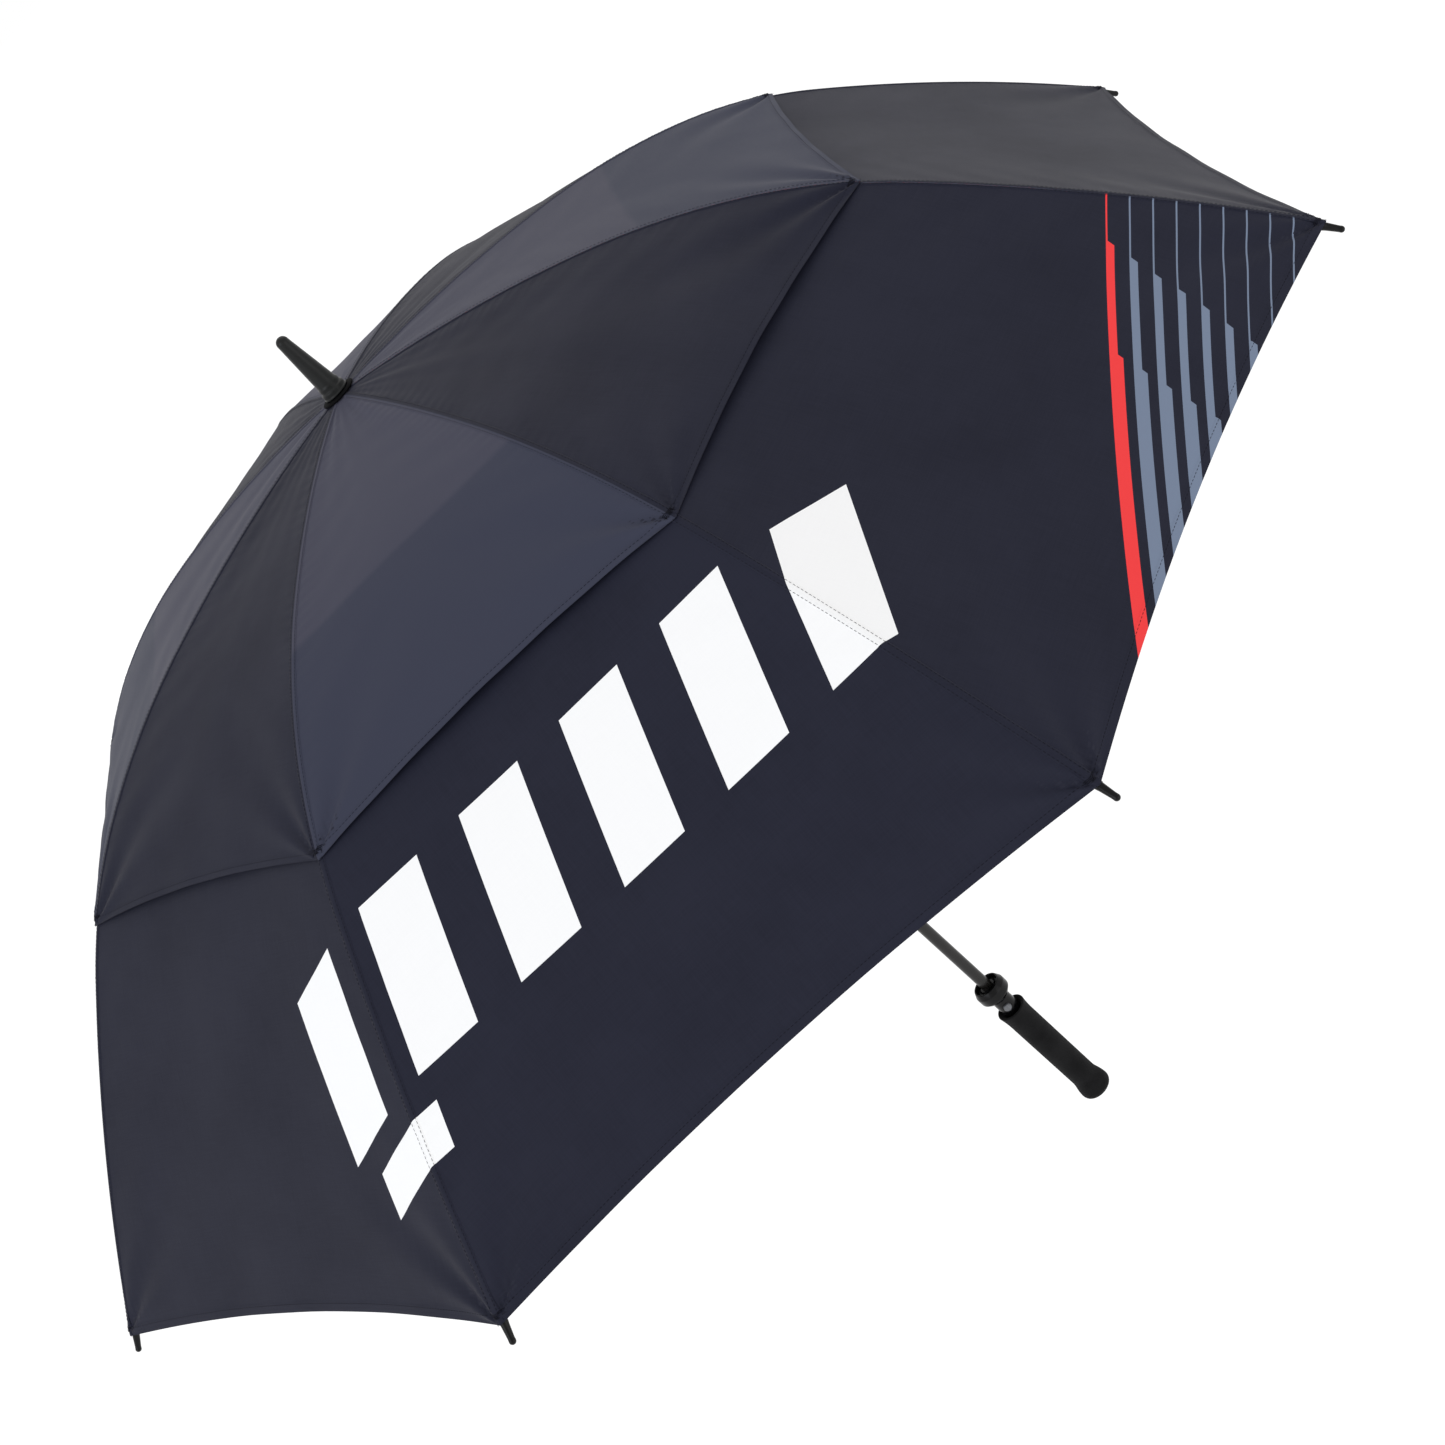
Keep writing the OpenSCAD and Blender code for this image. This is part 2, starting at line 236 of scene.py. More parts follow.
def noise(tree, vector, scale, detail=3.0, roughness=0.5):
    node = tree.nodes.new("ShaderNodeTexNoise")
    put(tree, node.inputs["Vector"], vector)
    put(tree, node.inputs["Scale"], scale)
    node.inputs["Detail"].default_value = detail
    node.inputs["Roughness"].default_value = roughness
    return node.outputs["Fac"]


def remap(tree, value, low, high, outLow=0.0, outHigh=1.0):
    node = tree.nodes.new("ShaderNodeMapRange")
    for socket, v in zip(node.inputs[:5], (value, low, high, outLow, outHigh)):
        put(tree, socket, v)
    return node.outputs[0]


def bump(tree, height, distance, strength=1.0):
    node = tree.nodes.new("ShaderNodeBump")
    node.inputs["Strength"].default_value = strength
    node.inputs["Distance"].default_value = distance
    put(tree, node.inputs["Height"], height)
    return node.outputs["Normal"]


def objectCoords(tree):
    return tree.nodes.new("ShaderNodeTexCoord").outputs["Object"]


def uvCoords(tree, label):
    node = tree.nodes.new("ShaderNodeUVMap")
    node.uv_map = label
    return node.outputs["UV"]


def shaderGroup(name, inputs, outputs):
    tree = bpy.data.node_groups.new(name, "ShaderNodeTree")
    for label, kind, value in inputs:
        socket = tree.interface.new_socket(name=label, in_out="INPUT", socket_type=kind)
        if value is not None:
            socket.default_value = value
    for label, kind in outputs:
        tree.interface.new_socket(name=label, in_out="OUTPUT", socket_type=kind)
    return tree, tree.nodes.new("NodeGroupInput").outputs, tree.nodes.new("NodeGroupOutput").inputs


def useGroup(tree, group, **values):
    node = tree.nodes.new("ShaderNodeGroup")
    node.node_tree = group
    for label, value in values.items():
        put(tree, node.inputs[label.replace("_", " ")], value)
    return node.outputs


# ---- shared effects: plain weave, slanted bars, stepped stripes, moulded grain

def makeWeave():
    # threads over and under each other, with uneven slubs; u and v are metres on the cloth
    tree, give, take = shaderGroup("plain weave", [
        ("Vector", "NodeSocketVector", None), ("Threads per metre", "NodeSocketFloat", 2200.0)],
        [("Height", "NodeSocketFloat"), ("Tone", "NodeSocketFloat")])
    parts = tree.nodes.new("ShaderNodeSeparateXYZ")
    wire(tree, give["Vector"], parts.inputs[0])
    turns = calc(tree, "MULTIPLY", give["Threads per metre"], math.pi)
    across = calc(tree, "SINE", calc(tree, "MULTIPLY", parts.outputs[0], turns))
    along = calc(tree, "SINE", calc(tree, "MULTIPLY", parts.outputs[1], turns))
    over = calc(tree, "MULTIPLY_ADD", calc(tree, "MULTIPLY", across, along), 0.5, 0.5)
    long = tree.nodes.new("ShaderNodeMapping")
    long.inputs["Scale"].default_value = (900, 40, 1)
    wire(tree, give["Vector"], long.inputs["Vector"])
    cross = tree.nodes.new("ShaderNodeMapping")
    cross.inputs["Scale"].default_value = (40, 900, 1)
    wire(tree, give["Vector"], cross.inputs["Vector"])
    slubs = calc(tree, "ADD", noise(tree, long.outputs[0], 1.0, 2), noise(tree, cross.outputs[0], 1.0, 2))
    wire(tree, calc(tree, "ADD", over, calc(tree, "MULTIPLY", slubs, 0.35)), take["Height"])
    patches = noise(tree, give["Vector"], 9.0, 4, 0.6)
    wire(tree, calc(tree, "ADD", product(tree, slubs, 0.3), product(tree, patches, 0.7)), take["Tone"])
    return tree


bars = dict(count=6, pitch=0.0885, share=0.58, left=-0.262, top=-0.214, bottom=-0.104, slant=0.30)
smallBar = dict(left=-0.262, right=-0.190, top=-0.085, bottom=-0.055)


def makeBars(b, small):
    # a row of slanted bars and a short one below the first; x runs sideways and y runs down the slope
    tree, give, take = shaderGroup("slanted bars", [("Vector", "NodeSocketVector", None)],
                                   [("Mask", "NodeSocketFloat")])
    parts = tree.nodes.new("ShaderNodeSeparateXYZ")
    wire(tree, give["Vector"], parts.inputs[0])
    x, y = parts.outputs[0], parts.outputs[1]
    middle = (b["top"] + b["bottom"]) / 2
    lean = calc(tree, "MULTIPLY_ADD", calc(tree, "SUBTRACT", y, middle), b["slant"], x)
    count = calc(tree, "DIVIDE", calc(tree, "SUBTRACT", lean, b["left"]), b["pitch"])
    inRow = product(tree, calc(tree, "GREATER_THAN", count, 0), calc(tree, "LESS_THAN", count, b["count"]),
                    calc(tree, "LESS_THAN", calc(tree, "FRACT", count), b["share"]),
                    calc(tree, "GREATER_THAN", y, b["top"]), calc(tree, "LESS_THAN", y, b["bottom"]))
    leanSmall = calc(tree, "MULTIPLY_ADD", calc(tree, "SUBTRACT", y, small["top"]), b["slant"], x)
    inSmall = product(tree, calc(tree, "GREATER_THAN", y, small["top"]),
                      calc(tree, "LESS_THAN", y, small["bottom"]),
                      calc(tree, "GREATER_THAN", leanSmall, small["left"]),
                      calc(tree, "LESS_THAN", leanSmall, small["right"]))
    wire(tree, calc(tree, "MAXIMUM", inRow, inSmall), take["Mask"])
    return tree


stripes = dict(gore=7, first=0.6895, pitch=0.0176, slope=0.42, count=9, thin=0.0013, wide=0.0063,
               widest=0.0102, firstStep=0.167, secondStep=0.078, stepDrift=0.0068, secondDrift=0.0055,
               shoulder=0.4, top=0.3, bottom=0.95)


def makeStripes(s):
    # stripes that start as thin lines and widen in two steps, on the panel of one gore
    tree, give, take = shaderGroup("stepped stripes", [("Vector", "NodeSocketVector", None)],
                                   [("Mask", "NodeSocketFloat"), ("First", "NodeSocketFloat")])
    parts = tree.nodes.new("ShaderNodeSeparateXYZ")
    wire(tree, give["Vector"], parts.inputs[0])
    side, down = parts.outputs[0], calc(tree, "SUBTRACT", parts.outputs[1], s["gore"])
    across = calc(tree, "SUBTRACT", calc(tree, "MULTIPLY_ADD", side, s["slope"], down), s["first"])
    index = calc(tree, "FLOOR", calc(tree, "DIVIDE", across, s["pitch"]))
    offset = calc(tree, "SUBTRACT", across, calc(tree, "MULTIPLY", index, s["pitch"]))
    sideAt = calc(tree, "MULTIPLY_ADD", offset, s["shoulder"], side)
    atOne = calc(tree, "MULTIPLY_ADD", index, s["stepDrift"], sideAt)
    pastOne = calc(tree, "LESS_THAN", atOne, s["firstStep"])
    atTwo = calc(tree, "MULTIPLY_ADD", index, s["secondDrift"], sideAt)
    pastTwo = calc(tree, "LESS_THAN", atTwo, s["secondStep"])
    width = calc(tree, "MULTIPLY_ADD", pastOne, s["wide"] - s["thin"], s["thin"])
    width = calc(tree, "MULTIPLY_ADD", pastTwo, s["widest"] - s["wide"], width)
    mask = product(tree, calc(tree, "LESS_THAN", offset, width), calc(tree, "GREATER_THAN", index, -0.5),
                   calc(tree, "LESS_THAN", index, s["count"] - 0.5),
                   calc(tree, "GREATER_THAN", down, s["top"]), calc(tree, "LESS_THAN", down, s["bottom"]))
    wire(tree, mask, take["Mask"])
    wire(tree, calc(tree, "LESS_THAN", index, 0.5), take["First"])
    return tree


def makeGrain():
    # fine moulded grain with faint scuffs
    tree, give, take = shaderGroup("moulded grain", [
        ("Vector", "NodeSocketVector", None), ("Scale", "NodeSocketFloat", 900.0)],
        [("Height", "NodeSocketFloat"), ("Scuffs", "NodeSocketFloat")])
    fine = noise(tree, give["Vector"], give["Scale"], 2)
    wire(tree, fine, take["Height"])
    stretch = tree.nodes.new("ShaderNodeMapping")
    stretch.inputs["Scale"].default_value = (300, 300, 22)
    wire(tree, give["Vector"], stretch.inputs["Vector"])
    marks = noise(tree, stretch.outputs[0], 1.0, 4, 0.65)
    wire(tree, remap(tree, marks, 0.52, 0.75), take["Scuffs"])
    return tree


weave, barPrint, stripePrint, grain = makeWeave(), makeBars(bars, smallBar), makeStripes(stripes), makeGrain()


# ---- materials

# overlap: how far down a gore the second layer starts
# every other vent panel is painted paler, a painted sheen, and paler still above the overlap, where the upper
# layer is alone: there painted light shows through the single layer
clothLook = dict(overlap=0.2760, painted_sheen=(0.040, 0.044, 0.072, 1), painted_light_through=(0.056, 0.057, 0.086, 1),
                 dark=(0.0108, 0.0118, 0.0235, 1), light=(0.0155, 0.0168, 0.0320, 1),
                 white=(0.97, 0.97, 0.975, 1), red=(0.93, 0.052, 0.055, 1), grey=(0.185, 0.232, 0.330, 1))


def makeClothOuter(name, look, vented):
    mat, tree, shader = startMaterial(name, 0.6, Sheen_Weight=0.045, Sheen_Roughness=0.36,
                                      Sheen_Tint=(1.0, 0.94, 0.90, 1), Specular_IOR_Level=0.14)
    panel = uvCoords(tree, "panel")
    woven = useGroup(tree, weave, Vector=panel)
    cloth = blendColour(tree, remap(tree, woven["Tone"], 0.35, 0.75), look["dark"], look["light"])
    if vented:
        parts = tree.nodes.new("ShaderNodeSeparateXYZ")
        wire(tree, panel, parts.inputs[0])
        down = calc(tree, "FRACT", parts.outputs[1])
        # painted light: above the overlap the upper layer is alone, and is painted paler as if lit through
        # from behind
        painted_light_through = remap(tree, down, look["overlap"] + 0.003, look["overlap"] - 0.003)
        inPair = calc(tree, "FRACT", calc(tree, "MULTIPLY", parts.outputs[1], 0.5))
        even = calc(tree, "LESS_THAN", inPair, 0.5)
        # painted sheen on every other vent panel, with painted light showing through above the overlap
        cloth = blendColour(tree, even, cloth, blendColour(tree, painted_light_through, look["painted_sheen"], look["painted_light_through"]))
    printed = useGroup(tree, barPrint, Vector=uvCoords(tree, "flat print"))
    striped = useGroup(tree, stripePrint, Vector=panel)
    stripeInk = blendColour(tree, striped["First"], look["grey"], look["red"])
    # painted shade: the weave's low points, where threads dip under each other, are darkened by up to 7
    # percent
    thread = remap(tree, woven["Height"], 0.2, 1.3, 0.93, 1.0)
    colour = blendColour(tree, striped["Mask"], cloth, stripeInk)
    colour = blendColour(tree, printed["Mask"], colour, look["white"])
    tint = tree.nodes.new("ShaderNodeVectorMath")
    tint.operation = "SCALE"
    wire(tree, colour, tint.inputs[0])
    wire(tree, thread, tint.inputs["Scale"])
    wire(tree, tint.outputs[0], shader.inputs["Base Color"])
    ink = calc(tree, "MAXIMUM", printed["Mask"], striped["Mask"])
    rough = calc(tree, "SUBTRACT", remap(tree, woven["Tone"], 0.3, 0.8, 0.70, 0.60), product(tree, ink, 0.12))
    wire(tree, rough, shader.inputs["Roughness"])
    wire(tree, bump(tree, woven["Height"], 0.00006, 0.6), shader.inputs["Normal"])
    return mat


def makeClothInner(look):
    mat, tree, shader = startMaterial("black pongee inside", 0.7, Sheen_Weight=0.08, Sheen_Roughness=0.40,
                                      Specular_IOR_Level=0.20)
    woven = useGroup(tree, weave, Vector=uvCoords(tree, "panel"))
    cloth = blendColour(tree, remap(tree, woven["Tone"], 0.35, 0.75), look["dark"], look["light"])
    wire(tree, cloth, shader.inputs["Base Color"])
    wire(tree, remap(tree, woven["Tone"], 0.3, 0.8, 0.78, 0.66), shader.inputs["Roughness"])
    wire(tree, bump(tree, woven["Height"], 0.00006, 0.6), shader.inputs["Normal"])
    return mat


def makePlastic(name, dark, light, roughness, grainDepth, scale=900.0, **fixed):
    mat, tree, shader = startMaterial(name, roughness, **fixed)
    spots = objectCoords(tree)
    moulded = useGroup(tree, grain, Vector=spots, Scale=scale)
    tone = noise(tree, spots, 60.0, 4, 0.6)
    colour = blendColour(tree, remap(tree, tone, 0.3, 0.75), dark, light)
    worn = tuple(min(1.0, c * 2.2 + 0.004) for c in light[:3]) + (1,)
    colour = blendColour(tree, product(tree, moulded["Scuffs"], 0.35), colour, worn)
    wire(tree, colour, shader.inputs["Base Color"])
    wire(tree, calc(tree, "MULTIPLY_ADD", moulded["Scuffs"], 0.12, roughness), shader.inputs["Roughness"])
    wire(tree, bump(tree, moulded["Height"], grainDepth), shader.inputs["Normal"])
    return mat


def makeRod():
    # pultruded fibreglass: fine glass strands run the rod's length under a black resin skin
    mat, tree, shader = startMaterial("black fibreglass", 0.34, Coat_Weight=0.25, Coat_Roughness=0.3)
    spots = objectCoords(tree)
    strands = tree.nodes.new("ShaderNodeTexNoise")
    strands.inputs["Scale"].default_value = 420.0
    strands.inputs["Detail"].default_value = 5.0
    strands.inputs["Distortion"].default_value = 0.4
    wire(tree, spots, strands.inputs["Vector"])
    tone = noise(tree, spots, 35.0, 3)
    mixed = calc(tree, "MULTIPLY_ADD", strands.outputs["Fac"], 0.6, product(tree, tone, 0.4))
    share = remap(tree, mixed, 0.35, 0.7)
    resin = blendColour(tree, share, (0.008, 0.008, 0.009, 1), (0.022, 0.022, 0.024, 1))
    wire(tree, resin, shader.inputs["Base Color"])
    wire(tree, remap(tree, mixed, 0.3, 0.75, 0.30, 0.46), shader.inputs["Roughness"])
    wire(tree, bump(tree, strands.outputs["Fac"], 0.00008), shader.inputs["Normal"])
    return mat


def makeSteel(name, dark, light, roughness):
    # drawn metal: streaks along the axis, with a few duller patches
    mat, tree, shader = startMaterial(name, roughness, Metallic=1.0)
    stretch = tree.nodes.new("ShaderNodeMapping")
    stretch.inputs["Scale"].default_value = (1500, 1500, 30)
    wire(tree, objectCoords(tree), stretch.inputs["Vector"])
    streaks = noise(tree, stretch.outputs[0], 1.0, 4, 0.6)
    patches = noise(tree, objectCoords(tree), 70.0, 4, 0.6)
    wire(tree, blendColour(tree, remap(tree, patches, 0.35, 0.7), dark, light), shader.inputs["Base Color"])
    wire(tree, calc(tree, "MULTIPLY_ADD", streaks, 0.22, roughness - 0.08), shader.inputs["Roughness"])
    wire(tree, bump(tree, streaks, 0.00002), shader.inputs["Normal"])
    return mat


def makeFoam():
    # closed-cell foam: tiny skinned bubbles, a dull worn tone in soft patches all over
    mat, tree, shader = startMaterial("black foam", 0.88, Specular_IOR_Level=0.12, Sheen_Weight=0.03,
                                      Sheen_Roughness=0.6)
    spots = objectCoords(tree)
    cells = tree.nodes.new("ShaderNodeTexVoronoi")
    cells.inputs["Scale"].default_value = 1500.0
    wire(tree, spots, cells.inputs["Vector"])
    fine = noise(tree, spots, 2600.0, 2)
    soft = noise(tree, spots, 45.0, 4, 0.6)
    bubbles = remap(tree, cells.outputs["Distance"], 0.0, 0.55, 0.0, 1.0)
    height = calc(tree, "MULTIPLY_ADD", fine, 0.35, bubbles)
    share = remap(tree, soft, 0.3, 0.75)
    skin = blendColour(tree, share, (0.0035, 0.0035, 0.004, 1), (0.010, 0.010, 0.011, 1))
    wire(tree, skin, shader.inputs["Base Color"])
    wire(tree, remap(tree, soft, 0.3, 0.75, 0.92, 0.78), shader.inputs["Roughness"])
    wire(tree, bump(tree, height, 0.00022), shader.inputs["Normal"])
    return mat


clothOuter = dict(lower=makeClothOuter("black pongee", clothLook, False),
                  upper=makeClothOuter("black pongee vent", clothLook, True))
clothInner = makeClothInner(clothLook)
thread = makePlastic("black thread", (0.005, 0.005, 0.009, 1), (0.009, 0.009, 0.015, 1), 0.7, 0.00003, 2500.0,
                     Specular_IOR_Level=0.08)
glossBlack = makePlastic("gloss black plastic", (0.0015, 0.0015, 0.002, 1), (0.0030, 0.0030, 0.0035, 1), 0.20,
                         0.00002, 700.0, Specular_IOR_Level=0.20)
ferrulePlastic = makePlastic("ferrule plastic", (0.003, 0.0035, 0.0035, 1), (0.007, 0.008, 0.008, 1), 0.36,
                             0.00003, Specular_IOR_Level=0.28)
satinBlack = makePlastic("satin black plastic", (0.002, 0.002, 0.0025, 1), (0.004, 0.004, 0.0045, 1), 0.7,
                         0.00002, 700.0, Specular_IOR_Level=0.05)
hubPlastic = makePlastic("black nylon", (0.007, 0.007, 0.008, 1), (0.014, 0.014, 0.016, 1), 0.46, 0.00004,
                         Specular_IOR_Level=0.30)
buttonPlastic = makePlastic("grey button plastic", (0.10, 0.105, 0.115, 1), (0.15, 0.155, 0.17, 1), 0.3,
                            0.00002)
shaftPaint = makePlastic("satin black paint", (0.006, 0.0055, 0.005, 1), (0.012, 0.011, 0.010, 1), 0.26,
                         0.000015, 1400.0, Specular_IOR_Level=0.42)
rodResin, foam = makeRod(), makeFoam()
wireSteel = makeSteel("zinc plated wire", (0.42, 0.42, 0.44, 1), (0.60, 0.60, 0.61, 1), 0.34)
print("materials made")


# ---- the cloth's shape: one rule for both layers, all eight gores

canopy = dict(ribs=8, openRadius=0.650, rimZ=0.5165, crownSlope=2.3, shares=(0.30, 0.16, 0.16, 0.38),
              bends=(10.7, 11.9, 16.0, 9.2), hollow=0.01, clip=0.46, thickness=0.0003,
              rowStep=0.003, columns=22, columnCrowd=1.6)
layers = dict(
    lower=dict(start=0.36, end=0.982, curve=0.012, base=0.00008, lift=0.0, hem=0.008),
    upper=dict(start=0.0088, end=0.57, curve=0.009, base=0.00138, lift=0.005, hem=0.006))
ripples = dict(pucker=0.00014, puckerPitch=0.0115, puckerReach=0.006, drag=0.00016, dragPitch=0.047,
               dragReach=0.026, fan=0.0042, fanReach=0.075, fanFolds=7, sway=0.0012, crown=0.0007,
               crownReach=0.15, hemWave=0.0003, seed=17)

halfGore = math.pi / canopy["ribs"]
shares, bends = np.array(canopy["shares"]), np.radians(canopy["bends"])
arcFrom = np.concatenate([[0], np.cumsum(shares)])
arcSlope = np.radians(canopy["crownSlope"]) + np.concatenate([[0], np.cumsum(bends)])
arcRadius = shares / bends
startR = np.concatenate([[0], np.cumsum(arcRadius * (np.sin(arcSlope[1:]) - np.sin(arcSlope[:-1])))])
startZ = np.concatenate([[0], np.cumsum(arcRadius * (np.cos(arcSlope[1:]) - np.cos(arcSlope[:-1])))])
ribLength = canopy["openRadius"] / startR[-1]
crownZ = canopy["rimZ"] - ribLength * startZ[-1]
rng = np.random.default_rng(ripples["seed"])
phases = rng.uniform(0, 2 * math.pi, (2, canopy["ribs"], 2, 8))
weights = rng.uniform(-1, 1, (2, canopy["ribs"], 6))


def lineAt(s):
    # radius, height and slope of the cloth's line over a rib at share s
    s = np.asarray(s, float)
    i = np.clip(np.searchsorted(arcFrom, s) - 1, 0, 3)
    a = arcSlope[i] + (s - arcFrom[i]) / shares[i] * bends[i]
    run = startR[i] + arcRadius[i] * (np.sin(a) - np.sin(arcSlope[i]))
    drop = startZ[i] + arcRadius[i] * (np.cos(a) - np.cos(arcSlope[i]))
    return ribLength * run, crownZ + ribLength * drop, a


def azimuth(k):
    return halfGore * (2 * k - 1)


def smooth(x, low, high):
    t = np.clip((x - low) / (high - low), 0, 1)
    return t * t * (3 - 2 * t)


def ruffle(layer, gore, s, u):
    # how far the cloth stands off its taut shape: puckers by the seams, fans at the corners, a slow sway
    row, lay, r = 0 if layer == "lower" else 1, layers[layer], lineAt(s)[0]
    g = (gore - 1) % canopy["ribs"]
    side = (u > 0).astype(int)
    ph = phases[row, g][side]
    fromSeam = (1 - np.abs(u)) * r * math.sin(halfGore)
    along = s * ribLength
    edge = smooth(np.abs(u), 0.0, 0.35)
    bell = fromSeam / ripples["puckerReach"] * np.exp(1 - fromSeam / ripples["puckerReach"])
    beat = 0.55 + 0.45 * np.sin(along / 0.037 + ph[..., 1]) * np.sin(along / 0.083 + ph[..., 2])
    turn = 2 * math.pi * (along / ripples["puckerPitch"] + 0.7 * np.sin(along / 0.047 + ph[..., 3]) / 2)
    out = ripples["pucker"] * bell * beat * np.sin(turn + ph[..., 0])
    wide = fromSeam / ripples["dragReach"] * np.exp(1 - fromSeam / ripples["dragReach"])
    slanted = along + 0.6 * fromSeam
    out = out + ripples["drag"] * wide * np.sin(2 * math.pi * slanted / ripples["dragPitch"] + ph[..., 4])
    toHem = np.maximum((lay["end"] - s) * ribLength, 0)
    rho, theta = np.hypot(toHem, fromSeam), np.arctan2(fromSeam, toHem + 1e-9)
    fan = np.sin(ripples["fanFolds"] * theta + 0.5 * np.sin(rho / 0.03 + ph[..., 5])) * np.sin(2 * theta)
    fan = fan * rho / (rho + 0.012) * np.exp(-rho / ripples["fanReach"])
    out = (out + ripples["fan"] * fan) * edge
    w = weights[row, g]
    inner = np.cos(math.pi * u / 2)
    sway = (w[0] * np.sin(along / 0.060 + 3 * u + phases[row, g, 0, 6]) + w[1] * np.sin(along / 0.105 - 2 * u)
            + w[2] * np.sin(2.3 * math.pi * u + phases[row, g, 0, 7]))
    out = out + ripples["sway"] * 0.5 * inner * sway * smooth(along, 0.03, 0.16)
    pleats = (w[3] * np.sin(3 * math.pi * u) + w[4] * np.sin(2 * math.pi * u)
              + 0.7 * w[5] * np.sin(5 * math.pi * u))
    grow = smooth(along, 0.015, 0.06)
    out = out + ripples["crown"] * pleats * grow * np.exp(-along / ripples["crownReach"])
    flutter = np.sin(2 * math.pi * 2.5 * u + phases[row, g, 1, 6]) * inner * np.exp(-toHem / 0.030)
    return out + ripples["hemWave"] * flutter


def panelPoint(layer, gore, s, u, height=0.0):
    # a point of a gore: s runs out from the crown, u from its first rib (-1) to its second (1)
    lay = layers[layer]
    u = np.clip(u, -1, 1)
    first = u <= 0
    t = np.where(first, u + 1, u - 1)
    m = np.abs(t)
    w = m * (2 - m)
    share = s - lay["curve"] / ribLength * w * (s / lay["end"]) ** 3
    r, z, a = lineAt(share)
    rise = lay["lift"] * w * ((s - lay["start"]) / (lay["end"] - lay["start"])) ** 2
    stand = lay["base"] + rise + ruffle(layer, gore, s, u) + height
    dip = canopy["hollow"] * r * w - stand
    turn = halfGore * t
    x = r * (1 - m * math.sin(halfGore) ** 2) - dip * np.sin(a) * np.cos(turn)
    y = r * math.sin(halfGore) * math.cos(halfGore) * t - dip * np.sin(a) * np.sin(turn)
    z = z - dip * np.cos(a)
    az = np.where(first, azimuth(gore), azimuth(gore + 1))
    return np.stack([x * np.cos(az) - y * np.sin(az), x * np.sin(az) + y * np.cos(az), z], -1)


def panelNormal(layer, gore, s, u, height=0.0):
    ds, du = 0.0006 / ribLength, 0.0015
    lay = layers[layer]
    down = panelPoint(layer, gore, np.minimum(s + ds, lay["end"]), u, height) - panelPoint(
        layer, gore, np.maximum(s - ds, lay["start"]), u, height)
    over = panelPoint(layer, gore, s, u + du, height) - panelPoint(layer, gore, s, u - du, height)
    n = np.cross(down, over)
    return n / np.maximum(np.linalg.norm(n, axis=-1, keepdims=True), 1e-12)


def clothMaps(points, gore, s, u):
    # UV in metres: on the gore's own panel, and on a plane that slopes down towards -Y
    r = lineAt(s)[0]
    panel = np.stack([u * r * math.sin(halfGore), s * ribLength + gore], -1)
    slope = (-points[..., 1] - points[..., 2]) / math.sqrt(2)
    return {"panel": panel.reshape(-1, 2), "flat print": np.stack([points[..., 0], slope], -1).reshape(-1, 2)}


def shellFaces(rows, cols):
    # a closed shell of two grids, top first, joined round the rim
    i, j = np.meshgrid(np.arange(rows - 1), np.arange(cols - 1), indexing="ij")
    a = (i * cols + j).ravel()
    top = np.stack([a, a + cols, a + cols + 1, a + 1], -1)
    layer = rows * cols
    low = top[:, ::-1] + layer
    ring = np.concatenate([np.arange(cols - 1), np.arange(rows - 1) * cols + cols - 1,
                           rows * cols - 1 - np.arange(cols - 1), (rows - 1 - np.arange(rows - 1)) * cols])
    after = np.roll(ring, -1)
    rim = np.stack([ring, after, after + layer, ring + layer], -1)
    return np.concatenate([top, low, rim]), len(top), len(low)


def rowShares(layer, low, high):
    # even rows, with a crowd of rows over the folded hem
    lay = layers[layer]
    fold = lay["hem"] / ribLength
    if abs(high - lay["end"]) > 1e-6:
        return np.linspace(low, high, max(int((high - low) * ribLength / canopy["rowStep"]), 2) + 1)
    body = np.linspace(low, high - 1.12 * fold, max(int((high - low) * ribLength / canopy["rowStep"]), 2))
    hem = high - fold * np.array([1.04, 1.0, 0.96, 0.75, 0.5, 0.25, 0.08, 0.0])
    return np.concatenate([body, hem])


def hemHeight(layer, s):
    # the folded hem stands up by the cloth's own thickness, and rolls off at the edge
    lay = layers[layer]
    into = (s - lay["end"]) * ribLength / lay["hem"] + 1
    rise = 1.15 * canopy["thickness"] * smooth(into, -0.02, 0.02)
    return rise - 0.9 * canopy["thickness"] * smooth(into, 0.93, 1.0)


def gather(piece):
    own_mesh(piece)


def makeHalfPetal(name, layer, k, side, low, high, body, node):
    gore = k if side > 0 else (k - 2) % canopy["ribs"] + 1
    cols = canopy["columns"] + 1
    m = (np.arange(cols) / (cols - 1)) ** canopy["columnCrowd"]
    s, mm = np.meshgrid(rowShares(layer, low, high), m, indexing="ij")
    u = (mm - 1) * side
    fold = hemHeight(layer, s)
    top = panelPoint(layer, gore, s, u, canopy["thickness"] + fold)
    under = panelPoint(layer, gore, s, u)
    normal = panelNormal(layer, gore, s, u)
    faces, nTop, nLow = shellFaces(*s.shape)
    if side < 0:
        faces = faces[:, ::-1]
    maps = clothMaps(top, gore, s, u)
    piece = addPiece(name, np.concatenate([top.reshape(-1, 3), under.reshape(-1, 3)]), faces,
                     [clothOuter[layer], clothInner],
                     np.concatenate([np.zeros(nTop), np.ones(nLow), np.zeros(len(faces) - nTop - nLow)]),
                     {label: np.concatenate([v, v]) for label, v in maps.items()},
                     np.concatenate([normal.reshape(-1, 3), -normal.reshape(-1, 3)]))
    cut = np.linalg.norm(np.diff(top, axis=0), axis=-1).sum(0).max()
    rowWidth = np.linalg.norm(np.diff(top, axis=1), axis=-1).sum(1)
    area = float(np.trapz(rowWidth, s[:, 0]) * ribLength)
    settle(piece, body, "cloth", node)
    return piece, (float(rowWidth.max()), float(cut)), area


# ---- seams: a raised double-felled strip over each rib

seam = dict(halfWidth=0.0032, rise=0.00042, rowStep=0.0026)


